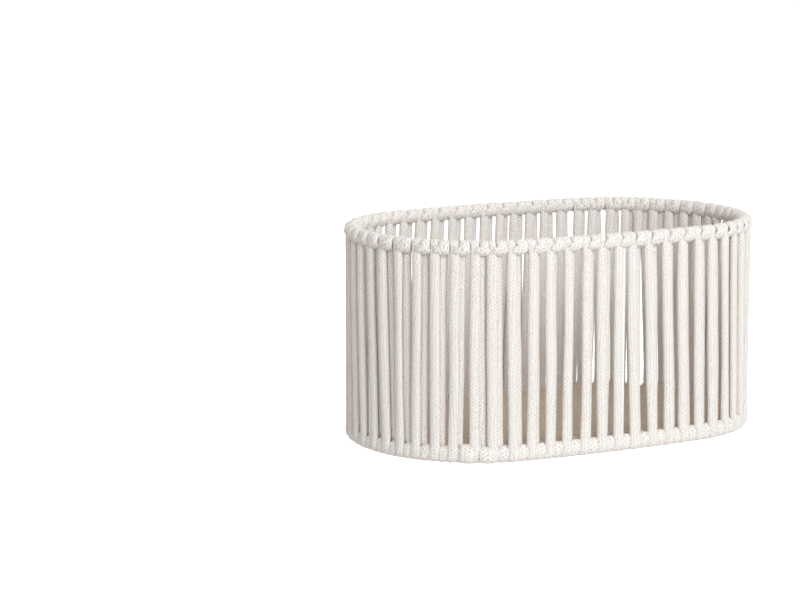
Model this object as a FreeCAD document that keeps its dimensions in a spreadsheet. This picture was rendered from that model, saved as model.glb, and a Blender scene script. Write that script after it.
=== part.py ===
import FreeCAD, Part

# Oval storage basket: braided cotton cord wound over a welded wire frame, with a floor of cords laid side
# by side. Millimetres. +Z is up, +X runs along the length and +Y to the back. The origin is on the ground,
# under the middle of the basket.

import math
import os

import Sketcher
from FreeCAD import Placement, Rotation, Vector

# Each driving dimension: its name in the sheet, its value and what it is.
SIZES = (
    ("height", 130.0, "from the ground to the top of the rim"),
    ("half_length", 125.1, "from the middle to the ring wire's centre line at an end"),
    ("half_width", 76.3, "from the middle to the ring wire's centre line at a side"),
    ("side_radius", 678.0, "curve of the long sides, seen from above"),
    ("end_radius", 84.7, "curve of the ends, seen from above"),
    ("corner_radius", 69.5, "curve between a side and an end, seen from above"),
    ("ring_wire", 3.0, "diameter of the two ring wires"),
    ("strut_wire", 2.6, "diameter of the struts and the cross wires"),
    ("wrap_radius", 3.9, "from a ring wire's centre line to the outside of the wound cord"),
    ("wrap_bore", 1.65, "radius left inside the wound cord for the ring wire"),
    ("foot_radius", 3.0, "rounding beside the flat that a cord turn stands on"),
    ("cord_width", 6.0, "width of the cord where it runs up the wall"),
    ("run_gap", 0.6, "between the outside run and the inside run of one turn"),
    ("turn_count", 60.0, "cord turns round the wall"),
    ("turn_phase", 0.92, "place of the first turn, in pitches from the right end"),
    ("filler_radius", 3.7, "outside radius of a wrap between two turns"),
    ("filler_length", 4.7, "length of such a wrap along the ring"),
    ("wire_shift", 1.1, "how far a strut or cross wire stands from a gap's middle, back along the outline"),
    ("wire_clearance", 0.15, "left round a strut or cross wire where a wrap lets it through"),
    ("floor_cords", 21.0, "cords in the floor"),
    ("floor_pitch", 6.65, "from one floor cord to the next"),
    ("floor_width", 6.5, "width of a floor cord"),
    ("floor_thickness", 4.0, "height of a floor cord"),
    ("floor_inset", 4.2, "from the ring wire's centre line in to the floor's edge"),
)

# The eight stretches of the outline, anticlockwise from the right end, in the order of outline_arcs().
STRETCHES = (
    "right_end", "back_right", "back", "back_left", "left_end", "front_left", "front", "front_right",
)

# Gaps between turns, counted from the right end: one strut stands in each of these,
STRUT_GAPS = (("strut_right", 0), ("strut_back", 15), ("strut_left", 30), ("strut_front", 45))
# and each cross wire runs from a gap in the front to one in the back.
CROSS_WIRE_GAPS = (("cross_wire_left", 40, 19), ("cross_wire_middle", 45, 15), ("cross_wire_right", 49, 10))
# The wound cord starts and ends in these two gaps of the bottom ring, with its tails tucked in.
TUCK_GAPS = (("cord_start_tuck", 36), ("cord_end_tuck", 37))

UP = Vector(0, 0, 1)

doc = FreeCAD.newDocument("OvalCordBasket")
sheet = doc.addObject("Spreadsheet::Sheet", "Sizes")
for row, (alias, value, note) in enumerate(SIZES, start=1):
    sheet.set(f"A{row}", str(value))
    sheet.setAlias(f"A{row}", alias)
    sheet.set(f"B{row}", note)
doc.recompute()


def size(alias):
    return float(sheet.get(alias))


# --- the outline seen from above ------------------------------------------------------------------------


def corner_centre():
    """The centre of the right back corner's arc, tangent inside the side's circle and the end's."""
    side = Vector(0, size("half_width") - size("side_radius"), 0)
    end = Vector(size("half_length") - size("end_radius"), 0, 0)
    from_side = size("side_radius") - size("corner_radius")
    from_end = size("end_radius") - size("corner_radius")
    apart = (end - side).Length
    along = (from_side**2 - from_end**2 + apart**2) / (2 * apart)
    across = math.sqrt(from_side**2 - along**2)
    towards = (end - side) / apart
    return side + towards * along + Vector(towards.y, -towards.x, 0) * across


def outline_arcs():
    """The outline's arcs, anticlockwise: (centre, sheet alias of the radius, first angle, last angle)."""
    corner = corner_centre()
    end = Vector(size("half_length") - size("end_radius"), 0, 0)
    side = Vector(0, size("half_width") - size("side_radius"), 0)
    end_turn = math.atan2(corner.y - end.y, corner.x - end.x)
    side_turn = math.atan2(corner.y - side.y, corner.x - side.x)
    straight = math.pi
    return (
        (end, "end_radius", -end_turn, end_turn),
        (corner, "corner_radius", end_turn, side_turn),
        (side, "side_radius", side_turn, straight - side_turn),
        (Vector(-corner.x, corner.y, 0), "corner_radius", straight - side_turn, straight - end_turn),
        (-end, "end_radius", straight - end_turn, straight + end_turn),
        (-corner, "corner_radius", straight + end_turn, straight + side_turn),
        (-side, "side_radius", straight + side_turn, 2 * straight - side_turn),
        (Vector(corner.x, -corner.y, 0), "corner_radius", 2 * straight - side_turn, 2 * straight - end_turn),
    )


ARCS = outline_arcs()
ARC_LENGTHS = [size(radius) * (last - first) for _, radius, first, last in ARCS]
PERIMETER = sum(ARC_LENGTHS)
PITCH = PERIMETER / size("turn_count")


def on_outline(distance):
    """The stretch, arc centre, arc radius and angle at a distance along the outline from the right end."""
    left = (distance + ARC_LENGTHS[0] / 2) % PERIMETER
    for stretch, (centre, radius, first, _), length in zip(STRETCHES, ARCS, ARC_LENGTHS):
        if left < length:
            return stretch, centre, size(radius), first + left / size(radius)
        left -= length
    raise ValueError("the distance is past the outline")


def outline_point(distance, height):
    _, centre, radius, angle = on_outline(distance)
    return centre + Vector(math.cos(angle), math.sin(angle), 0) * radius + UP * height


def turn_distance(index):
    return (index + size("turn_phase")) * PITCH


def gap_distance(index):
    return turn_distance(index) - PITCH / 2


def wire_distance(gap):
    return gap_distance(gap) - size("wire_shift")


def draw_outline(sketch, inset=""):
    """Draws the eight arcs, tangent to each other, with their radii and centres bound to the sheet.

    inset is the end of an expression that is taken off every radius, or nothing."""
    sheet_inset = size(inset) if inset else 0.0
    less = f" - Sizes.{inset}" if inset else ""
    for centre, radius, first, last in ARCS:
        circle = Part.Circle(centre, UP, size(radius) - sheet_inset)
        sketch.addGeometry(Part.ArcOfCircle(circle, first, last), False)
    count = len(ARCS)
    for index in range(count):
        sketch.addConstraint(Sketcher.Constraint("Tangent", index, 2, (index + 1) % count, 1))
    for index, (_, radius, _, _) in enumerate(ARCS):
        at = sketch.addConstraint(Sketcher.Constraint("Radius", index, size(radius) - sheet_inset))
        sketch.setExpression(f"Constraints[{at}]", f"Sizes.{radius}{less}")
    right, back, left, front = 0, 2, 4, 6
    end_reach = size("half_length") - size("end_radius")
    side_reach = size("side_radius") - size("half_width")
    placed = (
        ("DistanceX", (-1, 1, right, 3), end_reach, "Sizes.half_length - Sizes.end_radius"),
        ("DistanceX", (left, 3, -1, 1), end_reach, "Sizes.half_length - Sizes.end_radius"),
        ("DistanceY", (back, 3, -1, 1), side_reach, "Sizes.side_radius - Sizes.half_width"),
        ("DistanceY", (-1, 1, front, 3), side_reach, "Sizes.side_radius - Sizes.half_width"),
    )
    for kind, ends, value, expression in placed:
        at = sketch.addConstraint(Sketcher.Constraint(kind, *ends, value))
        sketch.setExpression(f"Constraints[{at}]", expression)
    for index, axis in ((right, -1), (left, -1), (back, -2), (front, -2)):
        sketch.addConstraint(Sketcher.Constraint("PointOnObject", index, 3, axis))


# --- small helpers --------------------------------------------------------------------------------------


def origin_plane(body, role):
    return next(plane for plane in body.Origin.OriginFeatures if plane.Role == role)


def add_sketch(body, name, role):
    sketch = body.newObject("Sketcher::SketchObject", name)
    sketch.AttachmentSupport = [(origin_plane(body, role), "")]
    sketch.MapMode = "FlatFace"
    return sketch


def add_circle(sketch, height_expression, height, radius_expression, radius):
    """A circle on the sketch's upright axis, its height and radius bound to the sheet."""
    index = sketch.addGeometry(Part.Circle(Vector(0, height, 0), UP, radius), False)
    sketch.addConstraint(Sketcher.Constraint("PointOnObject", index, 3, -2))
    at = sketch.addConstraint(Sketcher.Constraint("DistanceY", -1, 1, index, 3, height))
    sketch.setExpression(f"Constraints[{at}]", height_expression)
    at = sketch.addConstraint(Sketcher.Constraint("Radius", index, radius))
    sketch.setExpression(f"Constraints[{at}]", radius_expression)


def cut(name, base, tool):
    result = doc.addObject("Part::Cut", name)
    result.Base = base
    result.Tool = tool
    return result


def grouped(name, shapes):
    """One object that holds several separate solids."""
    group = doc.addObject("Part::Feature", name)
    group.Shape = Part.makeCompound(shapes)
    return group


def turned_to(direction):
    """A placement's rotation that turns +Z to the direction."""
    return Rotation(UP, direction)


# --- the wire frame -------------------------------------------------------------------------------------


def ring(name, height_expression):
    """A round wire bent to the outline, at a height bound to the sheet."""
    body = doc.addObject("PartDesign::Body", name)
    path = add_sketch(body, f"{name}_path", "XY_Plane")
    path.setExpression("AttachmentOffset.Base.z", height_expression)
    draw_outline(path)
    doc.recompute()
    profile = body.newObject("Sketcher::SketchObject", f"{name}_profile")
    profile.AttachmentSupport = [(path, "Edge1")]
    profile.MapMode = "NormalToEdge"
    circle = profile.addGeometry(Part.Circle(Vector(), UP, size("ring_wire") / 2), False)
    profile.addConstraint(Sketcher.Constraint("Coincident", circle, 3, -1, 1))
    at = profile.addConstraint(Sketcher.Constraint("Radius", circle, size("ring_wire") / 2))
    profile.setExpression(f"Constraints[{at}]", "Sizes.ring_wire / 2")
    doc.recompute()
    pipe = body.newObject("PartDesign::AdditivePipe", f"{name}_pipe")
    pipe.Profile = profile
    pipe.Spine = path
    doc.recompute()
    return body


def wire(name, start, direction):
    """A straight wire whose diameter is bound to the sheet."""
    cylinder = doc.addObject("Part::Cylinder", name)
    cylinder.setExpression("Radius", "Sizes.strut_wire / 2")
    cylinder.Placement = Placement(start, turned_to(direction))
    return cylinder


def strut(name, gap, top, bottom):
    """An upright between the rings, its ends cut to sit on them."""
    start = outline_point(wire_distance(gap), size("wrap_radius"))
    post = wire(f"{name}_wire", start, UP)
    post.setExpression("Height", "Sizes.height - 2 * Sizes.wrap_radius")
    return cut(name, cut(f"{name}_upper", post, top), bottom)


def cross_wire(name, front_gap, back_gap, bottom, struts):
    """A wire under the floor from the front of the bottom ring to its back.

    Its ends are cut to sit on the ring, and on the struts where they stand in the same gaps."""
    start = outline_point(wire_distance(front_gap), size("wrap_radius"))
    end = outline_point(wire_distance(back_gap), size("wrap_radius"))
    bar = wire(f"{name}_wire", start, end - start)
    bar.Height = (end - start).Length
    met = [post for post, (_, gap) in zip(struts, STRUT_GAPS) if gap in (front_gap, back_gap)]
    for number, post in enumerate(met, start=1):
        bar = cut(f"{name}_trim_{number}", bar, post)
    return cut(name, bar, bottom)


# --- the wound wall -------------------------------------------------------------------------------------


def turn_template():
    """One turn of cord round both rings, at the origin: +X is outward and +Y along the ring."""
    radius, foot, height = size("wrap_radius"), size("foot_radius"), size("height")
    body = doc.addObject("PartDesign::Body", "turn_template")
    outline = add_sketch(body, "turn_outline", "XZ_Plane")
    upper, flat = height - radius, radius - foot
    quarter = math.pi / 2
    pieces = (
        Part.LineSegment(Vector(radius, foot, 0), Vector(radius, upper, 0)),
        Part.ArcOfCircle(Part.Circle(Vector(0, upper, 0), UP, radius), 0, math.pi),
        Part.LineSegment(Vector(-radius, upper, 0), Vector(-radius, foot, 0)),
        Part.ArcOfCircle(Part.Circle(Vector(-flat, foot, 0), UP, foot), math.pi, 3 * quarter),
        Part.LineSegment(Vector(-flat, 0, 0), Vector(flat, 0, 0)),
        Part.ArcOfCircle(Part.Circle(Vector(flat, foot, 0), UP, foot), 3 * quarter, 4 * quarter),
    )
    for piece in pieces:
        outline.addGeometry(piece, False)
    for index in range(len(pieces)):
        outline.addConstraint(Sketcher.Constraint("Tangent", index, 2, (index + 1) % len(pieces), 1))
    outer, arch, sole, heel = 0, 1, 4, 5
    outline.addConstraint(Sketcher.Constraint("Vertical", outer))
    outline.addConstraint(Sketcher.Constraint("PointOnObject", arch, 3, -2))
    outline.addConstraint(Sketcher.Constraint("PointOnObject", sole, 1, -1))
    outline.addConstraint(Sketcher.Constraint("Equal", 3, heel))
    for kind, ends, value, expression in (
        ("Radius", (arch,), radius, "Sizes.wrap_radius"),
        ("Radius", (heel,), foot, "Sizes.foot_radius"),
        ("DistanceY", (-1, 1, arch, 3), upper, "Sizes.height - Sizes.wrap_radius"),
    ):
        at = outline.addConstraint(Sketcher.Constraint(kind, *ends, value))
        outline.setExpression(f"Constraints[{at}]", expression)
    doc.recompute()
    pad = body.newObject("PartDesign::Pad", "turn_pad")
    pad.Profile = outline
    pad.setExpression("Length", "Sizes.cord_width")
    pad.SideType = "Symmetric"
    doc.recompute()

    bores = add_sketch(body, "turn_bores", "XZ_Plane")
    bore = size("wrap_bore")
    add_circle(bores, "Sizes.wrap_radius", radius, "Sizes.wrap_bore", bore)
    add_circle(bores, "Sizes.height - Sizes.wrap_radius", upper, "Sizes.wrap_bore", bore)
    bore_pocket = body.newObject("PartDesign::Pocket", "turn_bore_pocket")
    bore_pocket.Profile = bores
    bore_pocket.setExpression("Length", "2 * Sizes.cord_width")
    bore_pocket.SideType = "Symmetric"
    doc.recompute()
    return body


def slot_tool():
    """The space between a turn's outside and inside runs, as a tool to cut with."""
    box = doc.addObject("Part::Box", "turn_slot")
    box.setExpression("Length", "Sizes.run_gap")
    box.setExpression("Width", "2 * Sizes.cord_width")
    box.setExpression("Height", "Sizes.height - 2 * Sizes.wrap_radius")
    box.setExpression("Placement.Base.x", "-Sizes.run_gap / 2")
    box.setExpression("Placement.Base.y", "-Sizes.cord_width")
    box.setExpression("Placement.Base.z", "Sizes.wrap_radius")
    return box


def by_stretch(place, make):
    """The shapes that make(index) gives along the wall, sorted by the stretch they stand on."""
    sorted_shapes = {stretch: [] for stretch in STRETCHES}
    for index in range(int(size("turn_count"))):
        shape = make(index)
        if shape is not None:
            sorted_shapes[on_outline(place(index))[0]].append(shape)
    return sorted_shapes


def placed_turn(template, index):
    """A copy of the template, standing on the outline and facing outward."""
    angle = on_outline(turn_distance(index))[3]
    turn = template.Shape.copy()
    turn.Placement = Placement(outline_point(turn_distance(index), 0), Rotation(UP, math.degrees(angle)))
    return turn


def wrap(index, height, wires):
    """A wrap round a ring between two turns, with room for the wires that leave the ring there."""
    _, centre, radius, angle = on_outline(gap_distance(index))
    turn = size("filler_length") / radius
    first = angle - turn / 2
    outward = Vector(math.cos(first), math.sin(first), 0)
    along = UP.cross(outward)
    middle = centre + outward * radius + UP * height
    outer, bore = (Part.makeCircle(r, middle, along) for r in (size("filler_radius"), size("wrap_bore")))
    section = Part.makeFace([Part.Wire(outer), Part.Wire(bore)], "Part::FaceMakerBullseye")
    solid = section.revolve(centre, UP, math.degrees(turn))
    room = size("strut_wire") / 2 + size("wire_clearance")
    for start, direction in wires:
        solid = solid.cut(Part.makeCylinder(room, 2 * size("wrap_radius"), start, direction))
    return solid


def wires_at(index, height, upward):
    """The start and direction of each wire that leaves the ring at a gap: struts and cross wires."""
    start = outline_point(wire_distance(index), height)
    leaving = [(start, UP * upward) for _, gap in STRUT_GAPS if gap == index]
    if upward > 0:
        for _, front_gap, back_gap in CROSS_WIRE_GAPS:
            for here, there in ((front_gap, back_gap), (back_gap, front_gap)):
                if here == index:
                    leaving.append((start, outline_point(wire_distance(there), height) - start))
    return leaving


# --- the floor ------------------------------------------------------------------------------------------


def floor_edge():
    """A block with the floor's outline, to trim the floor cords with."""
    outline = doc.addObject("Sketcher::SketchObject", "floor_outline")
    draw_outline(outline, "floor_inset")
    block = doc.addObject("Part::Extrusion", "floor_edge")
    block.Base = outline
    block.DirMode = "Custom"
    block.Dir = UP
    block.Solid = True
    block.setExpression("LengthFwd", "2 * (Sizes.wrap_radius + Sizes.floor_thickness)")
    return block


def floor_cord(number, edge):
    """One lengthwise cord of the floor on the cross wires: a bar trimmed to the floor's outline."""
    name = f"floor_cord_{number + 1:02d}"
    bar = doc.addObject("Part::Box", f"{name}_bar")
    bar.setExpression("Length", "2 * Sizes.half_length")
    bar.setExpression("Width", "Sizes.floor_width")
    bar.setExpression("Height", "Sizes.floor_thickness")
    bar.setExpression("Placement.Base.x", "-Sizes.half_length")
    from_middle = f"({number} - (Sizes.floor_cords - 1) / 2) * Sizes.floor_pitch"
    bar.setExpression("Placement.Base.y", f"{from_middle} - Sizes.floor_width / 2")
    bar.setExpression("Placement.Base.z", "Sizes.wrap_radius + Sizes.strut_wire / 2")
    cord = doc.addObject("Part::Common", name)
    cord.Base = bar
    cord.Tool = edge
    return cord


# --- the basket -----------------------------------------------------------------------------------------

top_height = size("height") - size("wrap_radius")
bottom_height = size("wrap_radius")

top_ring = ring("top_ring", "Sizes.height - Sizes.wrap_radius")
bottom_ring = ring("bottom_ring", "Sizes.wrap_radius")
struts = [strut(name, gap, top_ring, bottom_ring) for name, gap in STRUT_GAPS]
parts = [top_ring, bottom_ring, *struts]
parts += [cross_wire(name, front, back, bottom_ring, struts) for name, front, back in CROSS_WIRE_GAPS]

one_turn = cut("one_turn", turn_template(), slot_tool())
edge_block = floor_edge()
parts += [floor_cord(number, edge_block) for number in range(int(size("floor_cords")))]
doc.recompute()

tucked = {gap: name for name, gap in TUCK_GAPS}
turns = by_stretch(turn_distance, lambda index: placed_turn(one_turn, index))
top_wraps = by_stretch(gap_distance, lambda index: wrap(index, top_height, wires_at(index, top_height, -1)))
bottom_wraps = by_stretch(
    gap_distance,
    lambda index: (
        None if index in tucked else wrap(index, bottom_height, wires_at(index, bottom_height, 1))
    ),
)
for stretch in STRETCHES:
    parts.append(grouped(f"wall_turns_{stretch}", turns[stretch]))
    parts.append(grouped(f"top_wraps_{stretch}", top_wraps[stretch]))
    parts.append(grouped(f"bottom_wraps_{stretch}", bottom_wraps[stretch]))
for gap, name in tucked.items():
    tuck = doc.addObject("Part::Feature", name)
    tuck.Shape = wrap(gap, bottom_height, [])
    parts.append(tuck)
doc.recompute()

# --- checks, then one file for each part ----------------------------------------------------------------

failed = [item.Name for item in doc.Objects if {"Invalid", "Error"} & set(item.State)]
if failed:
    raise RuntimeError(f"not computed: {failed}")
for part in parts:
    part.Label = part.Name
    if part.Shape.isNull() or not part.Shape.isValid() or part.Shape.Volume <= 0:
        raise RuntimeError(f"{part.Label} is not a valid solid")
os.makedirs("parts", exist_ok=True)
for part in parts:
    part.Shape.exportStep(f"parts/{part.Label}.step")
solid_count = sum(len(part.Shape.Solids) for part in parts)
print(f"{len(parts)} parts, {solid_count} solids, outline {PERIMETER:.1f} mm")
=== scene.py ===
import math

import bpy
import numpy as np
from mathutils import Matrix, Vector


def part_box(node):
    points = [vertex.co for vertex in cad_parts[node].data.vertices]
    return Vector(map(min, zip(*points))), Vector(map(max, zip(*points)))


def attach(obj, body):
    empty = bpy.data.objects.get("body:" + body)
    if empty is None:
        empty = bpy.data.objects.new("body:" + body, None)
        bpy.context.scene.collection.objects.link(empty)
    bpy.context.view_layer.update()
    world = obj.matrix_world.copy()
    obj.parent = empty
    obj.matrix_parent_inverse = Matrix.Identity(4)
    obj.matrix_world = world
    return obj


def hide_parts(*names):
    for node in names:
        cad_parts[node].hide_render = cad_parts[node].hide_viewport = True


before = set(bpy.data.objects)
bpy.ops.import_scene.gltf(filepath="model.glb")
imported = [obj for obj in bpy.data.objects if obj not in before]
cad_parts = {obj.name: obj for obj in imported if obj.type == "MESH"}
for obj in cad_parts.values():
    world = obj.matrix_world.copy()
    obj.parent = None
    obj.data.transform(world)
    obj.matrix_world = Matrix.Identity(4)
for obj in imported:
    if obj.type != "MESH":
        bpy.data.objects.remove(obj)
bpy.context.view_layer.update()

# Oval basket of braided cotton cord wound over a wire frame. Metres, in the CAD model's frame: +Z up,
# +X along the length, origin on the ground under the middle.
#
# One cord is wound round the wall. Each turn runs up the outside, one and a half times round the top
# ring, down the inside and one and a half times round the bottom ring, which brings it one pitch
# further along the outline.

MM = 0.001
STRETCHES = (
    "right_end", "back_right", "back", "back_left", "left_end", "front_left", "front", "front_right",
)

# --- sizes ----------------------------------------------------------------------------------------

top_low, top_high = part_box("top_ring")
bottom_low, bottom_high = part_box("bottom_ring")
WIRE = (top_high.z - top_low.z) / 2
HALF_LENGTH = top_high.x - WIRE
HALF_WIDTH = top_high.y - WIRE
TOP = (top_low.z + top_high.z) / 2
BOTTOM = (bottom_low.z + bottom_high.z) / 2
SIDE_RADIUS = 678.0 * MM    # of the outline's arcs
END_RADIUS = 84.7 * MM
CORNER_RADIUS = 69.5 * MM

TURNS = 60
PHASE = 0.92                # place of turn 0 along the outline, in pitches from the right end
ROUNDS = 1.5                # how many times a turn goes round each ring
STRUT_GAPS = (0, 15, 30, 45)        # a strut stands in the gap before the even place of each of these turns

FREE_HALF_WIDTH = 3.0 * MM
NARROWEST = 1.6 * MM        # half width to which a cord is squeezed on a ring where its neighbours are near
WIDEST = 4.6 * MM           # and to which it spreads where they are far
FREE_OUT = 2.1 * MM         # half thickness of a run, on the side away from the other layer
FREE_IN = 1.95 * MM
RUN_OFFSET = 1.95 * MM      # from the wall's middle to the middle of a run
WRAP_OFFSET = 2.6 * MM      # from a ring wire's centre line to the middle of the cord wound on it
WRAP_OUT = BOTTOM - WRAP_OFFSET     # half thickness on a ring, so that the lowest wraps rest on the ground
WRAP_IN = WRAP_OFFSET - WIRE        # and so that they touch the wire
OVERLAP = 0.15 * MM         # how far each of two neighbours on a ring reaches past the middle between them
GRIP = 8.0 * MM             # height over which a run changes its section before it meets a ring
SQUARENESS = 2.15           # of the cord's section: 2 is an ellipse, and more is squarer

SWAY = (0.30 * MM, 0.20 * MM)       # how far the runs bow and wave along the wall
LEAN_OUT = 0.12 * MM                # how far they bow in or out
ROLL = math.radians(8)              # how far they turn about themselves
SWELL = (0.035, 0.03, 0.02)         # change in thickness: between runs, in a run's middle, and in waves
SWELL_WAVES = 2.5
STRUT_BULGE = 1.1 * MM              # how far an inside run bows in, past a strut

BRAID_COLUMNS = 10          # slanting columns of stitches round the cord
STITCH = 1.8 * MM           # length of a stitch along the cord
SLANT = 2.0 * MM            # how far a stitch runs along the cord while it crosses its column
BRAID_DEPTH = 0.22 * MM     # from the top of a strand to the bottom of a crease
BRAID_SHARPNESS = (0.6, 0.25)       # powers of the relief along and across a column: less is flatter on top
LEVEL_RELIEF = 0.6          # the relief at which the surface keeps the section's own size
WOBBLE = 0.6 * MM           # how unevenly the stitches follow each other
WOBBLE_KNOTS = 4 * MM       # length of cord between the changes
TWIST = 0.10                # how far the braid turns round the cord, in rounds
TWIST_KNOTS = 45 * MM

ROUND = 30                  # corners in the cord's section, three to a column of the braid
RUN_STEPS = 300
WRAP_STEPS = 56
TURNS_IN_PIECE = 4          # at most, which keeps each piece under 200,000 triangles
FOOT_SECTIONS = 4           # sections of the turn before that a piece starts with, so that no gap shows
ROUGHNESS = 0.045 * MM      # unevenness of the cord's surface
THIN = 1.2 * MM             # half width under which a cord's tip has no relief
LEAST_RADIUS = 0.3 * MM     # keeps the relief's scale finite
SHARP_EDGE = math.radians(80)

# --- the outline ----------------------------------------------------------------------------------


def outline_arcs():
    """The outline's eight tangent arcs, anticlockwise from the right end.

    Each is (centre x, centre y, radius, first angle, last angle)."""
    side = Vector((0, HALF_WIDTH - SIDE_RADIUS))
    end = Vector((HALF_LENGTH - END_RADIUS, 0))
    from_side = SIDE_RADIUS - CORNER_RADIUS
    from_end = END_RADIUS - CORNER_RADIUS
    apart = (end - side).length
    along = (from_side**2 - from_end**2 + apart**2) / (2 * apart)
    across = math.sqrt(from_side**2 - along**2)
    towards = (end - side) / apart
    corner = side + towards * along + Vector((towards.y, -towards.x)) * across
    a = math.atan2(corner.y - end.y, corner.x - end.x)
    b = math.atan2(corner.y - side.y, corner.x - side.x)
    half = math.pi
    return (
        (end.x, 0, END_RADIUS, -a, a),
        (corner.x, corner.y, CORNER_RADIUS, a, b),
        (0, side.y, SIDE_RADIUS, b, half - b),
        (-corner.x, corner.y, CORNER_RADIUS, half - b, half - a),
        (-end.x, 0, END_RADIUS, half - a, half + a),
        (-corner.x, -corner.y, CORNER_RADIUS, half + a, half + b),
        (0, -side.y, SIDE_RADIUS, half + b, 2 * half - b),
        (corner.x, -corner.y, CORNER_RADIUS, 2 * half - b, 2 * half - a),
    )


ARCS = outline_arcs()
ARC_ENDS = np.cumsum([radius * (last - first) for _, _, radius, first, last in ARCS])
PERIMETER = float(ARC_ENDS[-1])
PITCH = PERIMETER / TURNS


def along_outline(distance):
    """Which arc each distance from the right end's tip lies on, and the angle there."""
    left = (np.asarray(distance, float) + ARC_ENDS[0] / 2) % PERIMETER
    arc = np.minimum(np.searchsorted(ARC_ENDS, left, side="right"), len(ARCS) - 1)
    start = np.concatenate([[0.0], ARC_ENDS[:-1]])[arc]
    table = np.array(ARCS)[arc]
    return arc, table, table[..., 3] + (left - start) / table[..., 2]


def wall_points(distance, outward, height):
    """Points in space from places on the wall, and the outward direction at each."""
    _, table, angle = along_outline(distance)
    normal = np.stack([np.cos(angle), np.sin(angle), np.zeros_like(angle)], -1)
    reach = table[..., 2] + outward
    flat = table[..., :2] + normal[..., :2] * reach[..., None]
    return np.concatenate([flat, np.broadcast_to(height, angle.shape)[..., None]], -1), normal


# --- cord meshes ----------------------------------------------------------------------------------

SEED = 953
chance = np.random.default_rng(SEED)


def ease(x):
    """A smooth step from 0 to 1."""
    x = np.clip(x, 0.0, 1.0)
    return x * x * (3 - 2 * x)


def unit(v):
    """Vectors of length 1."""
    return v / np.maximum(np.linalg.norm(v, axis=-1, keepdims=True), 1e-12)


def slow_noise(length, knot_distance):
    """Smooth noise of about unit size along a cord."""
    knots = np.arange(length[0] - knot_distance, length[-1] + 3 * knot_distance, knot_distance)
    place = np.searchsorted(knots, length, side="right") - 1
    values = chance.normal(0, 1, len(knots) + 1)
    part = ease((length - knots[place]) / knot_distance)
    return values[place] * (1 - part) + values[place + 1] * part


def braid_relief(along, around):
    """The braid's relief at places on a cord: 0 in its creases and 1 on its strands."""
    column = around * BRAID_COLUMNS
    zigzag = 1 - np.abs(column % 2 - 1)
    strand = np.abs(np.sin(math.pi * (along + zigzag * SLANT) / STITCH))
    edge = np.abs(np.sin(math.pi * column))
    return strand ** BRAID_SHARPNESS[0] * edge ** BRAID_SHARPNESS[1]


def cord_surface(sweep):
    """The points round each section of a cord, and the cord's own coordinates there: along and around.

    The sweep is a dict of arrays, one entry for each section along the cord: centre, outward (which way its
    outer face looks), left, right, out and inn (half sizes) and power."""
    centre = sweep["centre"]
    steps = np.linalg.norm(np.diff(centre, axis=0), axis=1)
    length = np.concatenate([[0.0], np.cumsum(steps)])
    tangent = unit(np.gradient(centre, axis=0))
    side = unit(np.cross(tangent, sweep["outward"]))
    outward = np.cross(side, tangent)

    theta = 2 * math.pi * np.arange(ROUND) / ROUND
    cosine, sine = np.cos(theta), np.sin(theta)
    power = 2 / sweep["power"][:, None]
    across = np.sign(cosine) * np.abs(cosine) ** power
    up = np.sign(sine) * np.abs(sine) ** power
    across = across * np.where(cosine > 0, sweep["right"][:, None], sweep["left"][:, None])
    up = up * np.where(sine > 0, sweep["out"][:, None], sweep["inn"][:, None])

    along = length + WOBBLE * slow_noise(length, WOBBLE_KNOTS)
    twist = TWIST * slow_noise(length, TWIST_KNOTS)
    around = twist[:, None] + np.arange(ROUND + 1) / ROUND
    grid = np.stack(np.broadcast_arrays(along[:, None], around), -1)
    rough = chance.normal(0, 1, (len(centre), ROUND))
    rough = rough + np.roll(rough, 1, 0) + np.roll(rough, 1, 1)
    relief = braid_relief(grid[:, :-1, 0], grid[:, :-1, 1]) - LEVEL_RELIEF
    rise = rough / rough.std() * ROUGHNESS + BRAID_DEPTH * relief
    scale = 1 + rise / np.maximum(np.hypot(across, up), LEAST_RADIUS)
    scale = np.where(sweep["left"][:, None] > THIN, scale, 1.0)
    points = centre[:, None] + side[:, None] * (across * scale)[..., None]
    points = points + outward[:, None] * (up * scale)[..., None]
    return points, grid


def cord_mesh(name, sweep):
    """A closed mesh along a cord, with the cord's own coordinates as its UV map."""
    points, grid = cord_surface(sweep)
    count = len(points)
    here = np.arange(count - 1)[:, None] * ROUND + np.arange(ROUND)
    beside = np.arange(count - 1)[:, None] * ROUND + (np.arange(ROUND) + 1) % ROUND
    quads = (grid[:-1, :-1], grid[:-1, 1:], grid[1:, 1:], grid[1:, :-1])
    corners = [np.stack([here, beside, beside + ROUND, here + ROUND], -1).ravel()]
    sizes = [np.full(here.size, 4)]
    coordinates = [np.stack(quads, 2).reshape(-1, 2)]
    for section, order in ((0, -1), (count - 1, 1)):
        corners.append(section * ROUND + np.arange(ROUND)[::order])
        sizes.append(np.array([ROUND]))
        coordinates.append(grid[section, :-1][::order])
    corners, sizes = np.concatenate(corners), np.concatenate(sizes)
    mesh = bpy.data.meshes.new(name)
    mesh.vertices.add(count * ROUND)
    mesh.vertices.foreach_set("co", points.astype(np.float32).ravel())
    mesh.loops.add(len(corners))
    mesh.loops.foreach_set("vertex_index", corners.astype(np.int32))
    mesh.polygons.add(len(sizes))
    mesh.polygons.foreach_set("loop_start", (np.cumsum(sizes) - sizes).astype(np.int32))
    mesh.update(calc_edges=True)
    layer = mesh.uv_layers.new(name="cord")
    layer.data.foreach_set("uv", np.concatenate(coordinates).astype(np.float32).ravel())
    mesh.shade_smooth()
    mesh.set_sharp_from_angle(angle=SHARP_EDGE)
    piece = bpy.data.objects.new(name, mesh)
    bpy.context.scene.collection.objects.link(piece)
    return piece


# --- the wound wall -------------------------------------------------------------------------------

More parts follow.
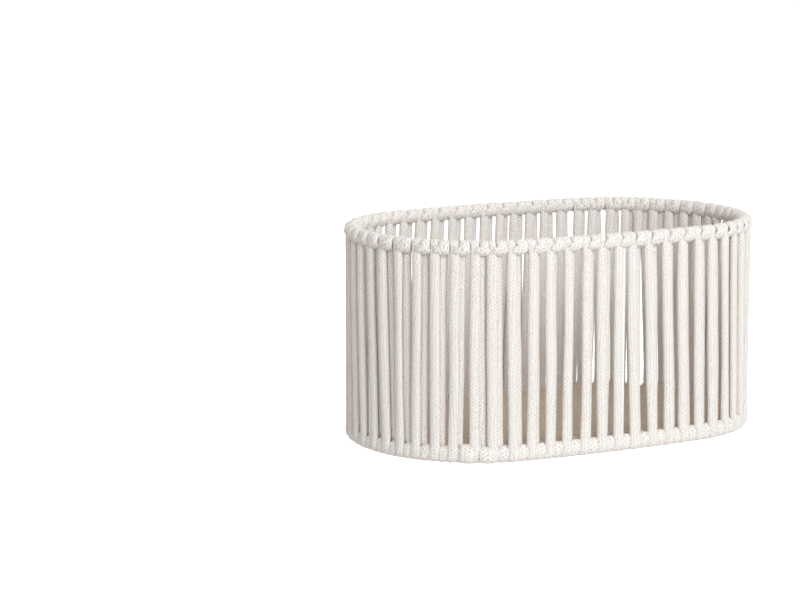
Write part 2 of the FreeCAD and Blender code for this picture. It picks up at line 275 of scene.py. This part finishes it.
# Where each turn's outside and inside run meet the rings. Hand winding shifts them a little: slow waves along
# the wall, and chance from turn to turn.
turn = np.arange(TURNS)
wave = 2 * math.pi / TURNS * turn


def lagging(most, middle, reach):
    """How far the winding lags behind an even one, in pitches.

    It is most at the middle turn, and nothing from reach turns away from it."""
    apart = (turn - middle + TURNS / 2) % TURNS - TURNS / 2
    return most * np.cos(np.clip(apart / reach, -1, 1) * math.pi / 2) ** 2


def shifted(mean, swing, waves, peak, spread):
    """A shift for every turn, in pitches: its mean, slow waves with one peak at a given turn, and chance."""
    slow = swing * np.cos(waves * (wave - 2 * math.pi / TURNS * peak))
    return mean + slow + chance.normal(0, spread, TURNS).clip(-2 * spread, 2 * spread)


outer_bottom = (turn + PHASE - lagging(1.18, 11.3, 17.8) + shifted(0.10, 0.20, 2, 50, 0.045)) * PITCH
outer_top = (turn + PHASE - lagging(0.96, 15.1, 22.8) + shifted(-0.05, 0.09, 8, 42, 0.045)) * PITCH
inner_top = outer_top + shifted(0.37, 0.12, 2, 20, 0.05) * PITCH
inner_bottom = outer_bottom + shifted(0.52, 0.28, 1, 7.7, 0.07) * PITCH
inner_bottom[30] -= 0.16 * PITCH    # at the left end this run stands nearer the middle of its gap


def of_turn(values, index):
    """A turn's place, where the index may run past either end of the row."""
    return values[index % TURNS] + PERIMETER * (index // TURNS)


FADE = 0.16                 # half rounds over which a pass changes from one neighbour to the next
PROUD_SHARE = 0.14 / MM     # share of the gap that a pass takes past a half, for each metre it stands out


def turned_up(normal, angle):
    """The outward directions turned up by an angle."""
    return normal * np.cos(angle)[:, None] + np.array([0, 0, 1.0]) * np.sin(angle)[:, None]


class Ring:
    """How the cord goes one and a half times round a ring, from where a turn arrives to where it leaves."""

    def __init__(self, height, first_angle, arrive, leave, leave_shift, aside, lift, proud, plump):
        self.height = height
        self.first_angle = first_angle      # 0 is outside, a quarter on top, a half inside
        self.arrive, self.leave = arrive, leave
        self.leave_shift = leave_shift      # 1 where it leaves at the next turn's run
        self.aside = aside                  # shift after a half and after a whole round, in pitches
        self.lift = lift                    # how much higher the cord sits on top of the ring
        self.proud = proud                  # how much the middle passes stand out past the first and last
        self.plump = plump                  # how much thicker the middle passes are

    def place(self, index, wound):
        """Distance along the outline after a number of rounds."""
        wound = np.clip(wound, 0, ROUNDS)
        start = of_turn(self.arrive, index)
        end = of_turn(self.leave, index + self.leave_shift)
        half, whole = self.aside
        aside = half * ease(wound * 2)
        aside = aside + (whole - half) * ease(wound * 2 - 1)
        aside = aside - whole * ease(wound * 2 - 2)
        return start + (end - start) * wound / ROUNDS + aside * PITCH

    def standing_out(self, wound):
        """-1 for the first and last pass, up to 1 between them."""
        return -np.cos(2 * math.pi * wound / ROUNDS)

    def half_widths(self, index, wound):
        """Half widths that reach just past the middle between this pass and its neighbours on each side."""
        here = self.place(index, wound)
        early = ease((1 + FADE - wound * 2) / FADE)
        late = ease((wound * 2 - 2 + FADE) / FADE)
        before = here - self.place(index - 1, wound + 1)
        after = self.place(index + 1, wound - 1) - here
        own_next = self.place(index, wound + 1) - here
        own_last = here - self.place(index, wound - 1)
        alone = 2 * WIDEST
        share = 0.5 + PROUD_SHARE * self.proud * self.standing_out(wound)
        left = early * before + late * own_last + (1 - early - late) * alone
        right = early * own_next + late * after + (1 - early - late) * alone
        return [np.clip(gap * share + OVERLAP, NARROWEST, WIDEST) for gap in (left, right)]

    def sweep(self, index):
        """The sections of one turn round this ring."""
        wound = np.linspace(0, ROUNDS, WRAP_STEPS)
        angle = 2 * math.pi * (self.first_angle + wound)
        offset = WRAP_OFFSET + self.proud * self.standing_out(wound)
        rise = np.sin(angle) * (offset + self.lift * (np.sin(angle) > 0))
        if self.height < TOP / 2:
            rise = np.maximum(rise, -WRAP_OFFSET)
        centre, normal = wall_points(self.place(index, wound), np.cos(angle) * offset, self.height + rise)
        outward = turned_up(normal, angle)
        left, right = self.half_widths(index, wound)
        return {
            "centre": centre, "outward": outward, "left": left, "right": right,
            "out": WRAP_OUT + self.plump * (1 + self.standing_out(wound)) / 2,
            "inn": np.full(WRAP_STEPS, WRAP_IN),
            "power": np.full(WRAP_STEPS, SQUARENESS), "offset": offset,
        }


top_winding = Ring(
    TOP, first_angle=0.0, arrive=outer_top, leave=inner_top, leave_shift=0, aside=(-0.15, 0.26),
    lift=0.0, proud=0.60 * MM, plump=0.90 * MM,
)
bottom_winding = Ring(
    BOTTOM, first_angle=0.5, arrive=inner_bottom, leave=outer_bottom, leave_shift=1, aside=(0.0, 0.0),
    lift=2.0 * MM, proud=-0.40 * MM, plump=0.3 * MM,
)


def run_sweep(start, end, start_height, end_height, layer, start_sizes, end_sizes, bulge=0.0):
    """A straight run of cord between the rings. layer is 1 outside and -1 inside."""
    t = np.linspace(0, 1, RUN_STEPS + 2)[1:-1]
    height = start_height + (end_height - start_height) * t
    long = abs(end_height - start_height)
    near_start, near_end = 1 - ease(t * long / GRIP), 1 - ease((1 - t) * long / GRIP)
    grip = near_start + near_end
    waves = chance.normal(0, 1, 7)
    bow = np.sin(math.pi * t)
    sideways = bow * (SWAY[0] * waves[0] + SWAY[1] * waves[1] * np.sin(2 * math.pi * t))
    depth = bow * (LEAN_OUT * waves[2] + bulge)
    place = start + (end - start) * t + sideways
    offset = RUN_OFFSET * (1 - grip) + start_sizes["offset"] * near_start + end_sizes["offset"] * near_end
    centre, normal = wall_points(place, (offset + depth) * layer, height)
    along = np.cross(np.array([0, 0, 1.0]), normal)
    roll = bow * ROLL * waves[3]
    outward = layer * (normal * np.cos(roll)[:, None] + along * np.sin(roll)[:, None])
    swell = 1 + SWELL[0] * waves[4] + bow * SWELL[1] * waves[5]
    swell = swell + SWELL[2] * np.sin(2 * math.pi * (SWELL_WAVES * t + waves[6]))

    def blend(free, side):
        return (free * swell) * (1 - grip) + near_start * start_sizes[side] + near_end * end_sizes[side]

    return {
        "centre": centre, "outward": outward,
        "left": blend(FREE_HALF_WIDTH, "left"), "right": blend(FREE_HALF_WIDTH, "right"),
        "out": blend(FREE_OUT, "out"), "inn": blend(FREE_IN, "inn"),
        "power": np.full(RUN_STEPS, SQUARENESS), "offset": offset,
    }


def sizes_at(sweep, at):
    """The half sizes and the offset of one section."""
    return {key: float(sweep[key][at]) for key in ("left", "right", "out", "inn", "offset")}


def wall_turn(index):
    """The sections of one turn, from the foot of its outside run to the foot of the next one."""
    over, under = top_winding.sweep(index), bottom_winding.sweep(index)
    up = run_sweep(
        of_turn(outer_bottom, index), of_turn(outer_top, index), BOTTOM, TOP, 1,
        sizes_at(bottom_winding.sweep(index - 1), -1), sizes_at(over, 0),
    )
    behind_strut = (index + 1) % TURNS in STRUT_GAPS
    down = run_sweep(
        of_turn(inner_top, index), of_turn(inner_bottom, index), TOP, BOTTOM, -1,
        sizes_at(over, -1), sizes_at(under, 0), bulge=STRUT_BULGE if behind_strut else 0.0,
    )
    return [up, over, down, under]


def joined(parts):
    """One sweep from several that follow each other."""
    return {key: np.concatenate([part[key] for part in parts]) for key in parts[0]}


def split_turns(indices):
    """A stretch's turns, split where their numbers jump and then into groups small enough for one piece."""
    jumps = np.flatnonzero(np.diff(indices) > 1) + 1
    groups = []
    for whole in np.split(indices, jumps):
        groups += np.array_split(whole, math.ceil(len(whole) / TURNS_IN_PIECE))
    return groups


def make_wall():
    """The wound cord, in place of its turns and wraps: a few pieces for each stretch of the outline."""
    turns = {stretch: [] for stretch in STRETCHES}
    for index in range(-TURNS // 2, TURNS // 2):
        arc = along_outline((index + PHASE) * PITCH)[0]
        turns[STRETCHES[int(arc)]].append(index)
    pieces = []
    for stretch in STRETCHES:
        for number, group in enumerate(split_turns(turns[stretch])):
            before = bottom_winding.sweep(group[0] - 1)
            foot = {key: values[-FOOT_SECTIONS:] for key, values in before.items()}
            parts = [foot] + [part for index in group for part in wall_turn(index)]
            piece = cord_mesh(f"wall_cord_{stretch}_{number + 1}", joined(parts))
            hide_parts(f"wall_turns_{stretch}", f"top_wraps_{stretch}", f"bottom_wraps_{stretch}")
            pieces.append(piece)
    return pieces


# --- the tucked ends ------------------------------------------------------------------------------

TUCK_SECTIONS = 48
TUCK_ROUNDS = (-0.40, 0.44)         # where a lump starts and ends, in rounds about the bottom ring
TUCK_TILT = 0.04            # how far its middle sits below the ring's height, in rounds
TUCK_BACK = 0.40            # how far it sits before the even place of the turn, in pitches
TUCK_LEAN = 1.5 * MM        # how far it goes along the wall in a round
TUCK_TAPER = (0.46, 6)      # rounds from its middle at which it would end in a point, and how suddenly
TUCK_TIP = 0.02             # least square of its share of the full section
TUCK_SQUARENESS = 2.1


def make_tuck(name, gap, half_width, reach, lift):
    """A cord end: a fat lump between two turns, wrapped over the bottom ring and tucked in behind it."""
    wound = np.linspace(*TUCK_ROUNDS, TUCK_SECTIONS)
    angle = 2 * math.pi * (wound - TUCK_TILT)
    place = (gap + PHASE - TUCK_BACK) * PITCH + wound * TUCK_LEAN
    tip = np.sqrt(np.clip(1 - (np.abs(wound) / TUCK_TAPER[0]) ** TUCK_TAPER[1], TUCK_TIP, 1))
    offset = WRAP_OFFSET + reach * np.clip(np.cos(angle), 0, 1)
    rise = np.sin(angle) * (offset + lift * (np.sin(angle) > 0))
    height = BOTTOM + np.maximum(rise, -WRAP_OFFSET)
    centre, normal = wall_points(place, np.cos(angle) * offset, height)
    sweep = {
        "centre": centre, "outward": turned_up(normal, angle),
        "left": half_width * tip, "right": half_width * tip,
        "out": WRAP_OUT * tip, "inn": WRAP_IN * tip,
        "power": np.full(TUCK_SECTIONS, TUCK_SQUARENESS),
    }
    piece = cord_mesh(f"{name}_cord", sweep)
    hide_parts(name)
    return piece


# --- the floor ------------------------------------------------------------------------------------

FLOOR_STEP = 0.8 * MM       # between sections
FLOOR_SHORT = 1.2 * MM      # how much shorter than the plain cord it is at each end
FLOOR_HALF_WIDTH = 3.35 * MM        # a little over half their spacing
FLOOR_FULL = 0.1 * MM       # how much thicker its upper half is, and how much higher it lies
FLOOR_SQUARENESS = 2.2
FLOOR_SWAY = 0.10 * MM
FLOOR_WAVE = 62 * MM / 0.7  # length of the longest of its three waves
FLOOR_DIP = 1.6 * MM        # how far its ends turn down
FLOOR_DIP_LENGTH = 7 * MM
FLOOR_RIPPLE = 0.12 * MM    # how far it goes up and down
FLOOR_RIPPLE_LENGTH = 9 * MM        # for each radian
FLOOR_TIP_LENGTH = 2.4 * MM
FLOOR_TIP = 0.03            # least square of its share of the full section


def make_floor_cord(name):
    """A cord that lies lengthwise on the cross wires, with its ends turned down at the wall."""
    low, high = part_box(name)
    half = (high.z - low.z) / 2
    count = int((high.x - low.x) / FLOOR_STEP)
    x = np.linspace(low.x + FLOOR_SHORT, high.x - FLOOR_SHORT, count)
    waves = chance.normal(0, 1, 8)
    sway = sum(
        waves[n] * np.sin(2 * math.pi * (x / FLOOR_WAVE * (n + 1) + waves[n + 4])) for n in range(3)
    )
    y = (low.y + high.y) / 2 + FLOOR_SWAY * sway
    end = np.minimum(x - x[0], x[-1] - x)
    dip = FLOOR_DIP * (1 - ease(end / FLOOR_DIP_LENGTH))
    ripple = FLOOR_RIPPLE * np.sin(x / FLOOR_RIPPLE_LENGTH + waves[7])
    z = low.z + half + FLOOR_FULL - dip + ripple
    point = 1 - np.clip(end / FLOOR_TIP_LENGTH, 0, 1)
    tip = np.sqrt(np.clip(1 - point**2, FLOOR_TIP, 1))
    sweep = {
        "centre": np.stack([x, y, z], -1), "outward": np.tile([0, 0, 1.0], (count, 1)),
        "left": FLOOR_HALF_WIDTH * tip, "right": FLOOR_HALF_WIDTH * tip,
        "out": (half + FLOOR_FULL) * tip, "inn": half * tip,
        "power": np.full(count, FLOOR_SQUARENESS),
    }
    piece = cord_mesh(f"{name}_soft", sweep)
    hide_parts(name)
    return piece


# --- materials ------------------------------------------------------------------------------------

WALL_IVORY = ((0.97, 0.962, 0.955), (0.945, 0.932, 0.92))
# The floor's cords are a darker, browner copy of the wall's ivory: painted shade for the floor down inside
# the basket.
FLOOR_SHADED_IVORY = ((0.80, 0.70, 0.59), (0.74, 0.63, 0.52))
# The cotton's colour is darkened at the bottom of the braid's creases: painted shade. The fuzz noise feeds
# the same darkening, as a fine uneven grain.
CREASE_PAINTED_SHADE = (0.71, 0.62, 0.53)         # what is left of the ivory at the bottom of a crease
RELIEF_IN_HEIGHT = 0.42             # weight of the braid's relief, where the fuzz has 1
SHADE_FROM_HEIGHT = (3.4, -1.98)    # factor and offset
ENAMEL = ((0.80, 0.82, 0.85), (0.86, 0.88, 0.90))
GLOSS_FROM_NOISE = (0.2, 0.25)      # factor and offset of the roughness


class Nodes:
    """Short ways to add shader nodes to a material."""

    def __init__(self, name):
        self.material = bpy.data.materials.new(name)
        self.material.use_nodes = True
        self.tree = self.material.node_tree
        self.shader = self.tree.nodes["Principled BSDF"]

    def add(self, kind, **settings):
        """A new node with some of its properties set."""
        node = self.tree.nodes.new(kind)
        for key, value in settings.items():
            setattr(node, key, value)
        return node

    def join(self, source, target):
        """A link from one socket to another."""
        self.tree.links.new(source, target)

    def math(self, operation, *inputs, clamp=False):
        """A sum on sockets and numbers."""
        node = self.add("ShaderNodeMath", operation=operation, use_clamp=clamp)
        for socket, value in zip(node.inputs, inputs):
            if isinstance(value, (int, float)):
                socket.default_value = value
            else:
                self.join(value, socket)
        return node.outputs[0]

    def noise(self, vector, scale, detail=3.0, roughness=0.55):
        """Noise about a half, at scale blobs to the metre."""
        node = self.add("ShaderNodeTexNoise")
        node.inputs["Scale"].default_value = scale
        node.inputs["Detail"].default_value = detail
        node.inputs["Roughness"].default_value = roughness
        self.join(vector, node.inputs["Vector"])
        return node.outputs["Fac"]

    def mix(self, factor, first, second):
        """A colour between two others."""
        node = self.add("ShaderNodeMix", data_type="RGBA")
        for socket, value in ((node.inputs[0], factor), (node.inputs[6], first), (node.inputs[7], second)):
            if isinstance(value, tuple):
                socket.default_value = (*value, 1.0)
            else:
                self.join(value, socket)
        return node.outputs[2]

    def bump(self, height, strength, distance):
        """Gives the shader a bump."""
        node = self.add("ShaderNodeBump")
        node.inputs["Strength"].default_value = strength
        node.inputs["Distance"].default_value = distance
        self.join(height, node.inputs["Height"])
        self.join(node.outputs[0], self.shader.inputs["Normal"])

    def set(self, **values):
        """Constants on the shader's own sockets."""
        for key, value in values.items():
            self.shader.inputs[key.replace("_", " ")].default_value = value


def braid_height(nodes):
    """The same relief as braid_relief gives, from the cord's own coordinates."""
    uv = nodes.add("ShaderNodeUVMap", uv_map="cord")
    split = nodes.add("ShaderNodeSeparateXYZ")
    nodes.join(uv.outputs[0], split.inputs[0])
    column = nodes.math("MULTIPLY", split.outputs[1], BRAID_COLUMNS)
    zigzag = nodes.math("PINGPONG", column, 1.0)
    slant = nodes.math("MULTIPLY", zigzag, SLANT / STITCH)
    phase = nodes.math("ADD", nodes.math("DIVIDE", split.outputs[0], STITCH), slant)
    strand = nodes.math("ABSOLUTE", nodes.math("SINE", nodes.math("MULTIPLY", phase, math.pi)))
    strand = nodes.math("POWER", strand, BRAID_SHARPNESS[0])
    edge = nodes.math("ABSOLUTE", nodes.math("SINE", nodes.math("MULTIPLY", column, math.pi)))
    edge = nodes.math("POWER", edge, BRAID_SHARPNESS[1])
    return nodes.math("MULTIPLY", strand, edge)


def cotton(name, light, dark):
    """Matt ivory cotton: a fine braid of soft strands, a little fuzzy, its colour slightly uneven and
    darkened in its creases as painted shade.
    """
    nodes = Nodes(name)
    place = nodes.add("ShaderNodeTexCoord").outputs["Object"]
    relief = braid_height(nodes)
    fuzz = nodes.noise(place, scale=1000.0, detail=4.0, roughness=0.80)
    patches = nodes.noise(place, scale=60.0)
    height = nodes.math("ADD", nodes.math("MULTIPLY", relief, RELIEF_IN_HEIGHT), fuzz)
    ivory = nodes.mix(patches, light, dark)
    # painted shade: the colour darkens towards the crease colour where the braid's relief and the fuzz are
    # low
    shade = nodes.math("MULTIPLY_ADD", height, *SHADE_FROM_HEIGHT, clamp=True)
    painted_crease_shade = nodes.mix(shade, CREASE_PAINTED_SHADE, (1.0, 1.0, 1.0))
    multiply = nodes.add("ShaderNodeMix", data_type="RGBA", blend_type="MULTIPLY")
    multiply.inputs[0].default_value = 1.0
    nodes.join(ivory, multiply.inputs[6])
    nodes.join(painted_crease_shade, multiply.inputs[7])
    nodes.join(multiply.outputs[2], nodes.shader.inputs["Base Color"])
    nodes.bump(height, strength=0.9, distance=0.45 * MM)
    nodes.set(Roughness=0.92, Sheen_Weight=0.2, Sheen_Roughness=0.6)
    nodes.set(Subsurface_Weight=0.35, Subsurface_Scale=1.5 * MM, Subsurface_Radius=(1.0, 0.85, 0.7))
    nodes.set(Specular_IOR_Level=0.15)
    return nodes.material


def enamel():
    """Smooth white enamel on the wires, with a faint unevenness in its gloss."""
    nodes = Nodes("frame_wire")
    place = nodes.add("ShaderNodeTexCoord").outputs["Object"]
    runs = nodes.noise(place, scale=300.0, detail=2.0)
    colour = nodes.mix(nodes.noise(place, scale=80.0), *ENAMEL)
    nodes.join(colour, nodes.shader.inputs["Base Color"])
    nodes.join(nodes.math("MULTIPLY_ADD", runs, *GLOSS_FROM_NOISE), nodes.shader.inputs["Roughness"])
    nodes.bump(runs, strength=0.2, distance=0.1 * MM)
    return nodes.material


def pale_floor():
    """The studio's floor: matt, and lit enough of itself to be white round the basket."""
    nodes = Nodes("studio_floor")
    nodes.set(Base_Color=(0.93, 0.93, 0.93, 1.0), Roughness=0.9, Specular_IOR_Level=0.0)
    nodes.set(Emission_Color=(1.0, 1.0, 1.0, 1.0), Emission_Strength=0.60)
    return nodes.material


# --- camera, light and floor ----------------------------------------------------------------------

CAMERA_PLACE = (-0.8719, -1.4281, 0.3537)
CAMERA_HEADING = (0.4738, 0.8807)
CAMERA_PITCH = math.radians(9.334)
LENS = 125.0                # in millimetres, on a sensor 36 wide

LAMP_TARGET = (0, 0, 0.06)

WORLD_COLOUR = (1.0, 0.975, 0.95, 1.0)
WORLD_SLOPE = (0.74, -0.60, -0.30)          # the way in which the world gets brighter
WORLD_RANGE = (-0.90, 0.15, 0.48, 0.88)     # from and to along the slope, and strength there

STUDIO_REACH = 12.0
STUDIO_FLOOR = -0.2 * MM    # just under the basket, so that their faces don't meet


def make_camera():
    """A long lens that looks a little down."""
    data = bpy.data.cameras.new("camera")
    data.sensor_width = 36.0
    data.lens = LENS
    data.clip_end = 50.0
    camera = bpy.data.objects.new("camera", data)
    camera.location = CAMERA_PLACE
    level = math.cos(CAMERA_PITCH)
    ahead = Vector((CAMERA_HEADING[0] * level, CAMERA_HEADING[1] * level, -math.sin(CAMERA_PITCH)))
    camera.rotation_mode = "QUATERNION"
    camera.rotation_quaternion = ahead.to_track_quat("-Z", "Y")
    bpy.context.scene.collection.objects.link(camera)
    bpy.context.scene.camera = camera


def make_light(name, place, size, power, colour):
    """A square lamp that looks at the basket."""
    data = bpy.data.lights.new(name, "AREA")
    data.shape = "SQUARE"
    data.size = size
    data.energy = power
    data.color = colour
    lamp = bpy.data.objects.new(name, data)
    lamp.location = place
    lamp.rotation_mode = "QUATERNION"
    lamp.rotation_quaternion = (Vector(LAMP_TARGET) - Vector(place)).to_track_quat("-Z", "Y")
    bpy.context.scene.collection.objects.link(lamp)


def make_world():
    """Light from all round, dimmer at the left and behind."""
    world = bpy.data.worlds.new("studio")
    bpy.context.scene.world = world
    world.use_nodes = True
    tree = world.node_tree
    background = tree.nodes["Background"]
    background.inputs[0].default_value = WORLD_COLOUR
    direction = tree.nodes.new("ShaderNodeTexCoord")
    slope = tree.nodes.new("ShaderNodeVectorMath")
    slope.operation = "DOT_PRODUCT"
    slope.inputs[1].default_value = WORLD_SLOPE
    strength = tree.nodes.new("ShaderNodeMapRange")
    for socket, value in zip(strength.inputs[1:5], WORLD_RANGE):
        socket.default_value = value
    tree.links.new(direction.outputs["Generated"], slope.inputs[0])
    tree.links.new(slope.outputs["Value"], strength.inputs[0])
    tree.links.new(strength.outputs[0], background.inputs[1])


def make_floor():
    """The studio's floor, which throws no light back on the basket."""
    mesh = bpy.data.meshes.new("floor")
    corners = [
        (STUDIO_REACH * x, STUDIO_REACH * y, 0) for x, y in ((-1, -1), (1, -1), (1, 1), (-1, 1))
    ]
    mesh.from_pydata(corners, [], [(0, 1, 2, 3)])
    mesh.materials.append(pale_floor())
    floor = bpy.data.objects.new("floor", mesh)
    floor.location.z = STUDIO_FLOOR
    floor.visible_diffuse = False
    bpy.context.scene.collection.objects.link(floor)


# --- the basket -----------------------------------------------------------------------------------

make_camera()
make_world()
make_light("key", place=(-0.35, -1.95, 1.10), size=1.2, power=27.5, colour=(0.90, 0.95, 1.0))
make_floor()
bpy.context.scene.view_settings.view_transform = "Standard"

cord_pieces = make_wall()
cord_pieces.append(
    make_tuck("cord_start_tuck", gap=36, half_width=4.2 * MM, reach=1.9 * MM, lift=3.0 * MM)
)
cord_pieces.append(
    make_tuck("cord_end_tuck", gap=37, half_width=4.9 * MM, reach=1.8 * MM, lift=1.6 * MM)
)
floor_names = [name for name in sorted(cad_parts) if name.startswith("floor_cord_")]
cord_pieces += [make_floor_cord(name) for name in floor_names]
wall_cotton = cotton("cotton_cord", *WALL_IVORY)
# painted shade: the floor's cords get the darker, browner copy of the cotton
floor_painted_shade_cotton = cotton("cotton_cord_floor", *FLOOR_SHADED_IVORY)
for piece in cord_pieces:
    piece.data.materials.append(floor_painted_shade_cotton if piece.name.startswith("floor_") else wall_cotton)
    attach(piece, "root")

enamel_material = enamel()
for name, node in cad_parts.items():
    if name.endswith("_ring") or name.startswith(("strut_", "cross_wire_")):
        node.data.materials.clear()
        node.data.materials.append(enamel_material)
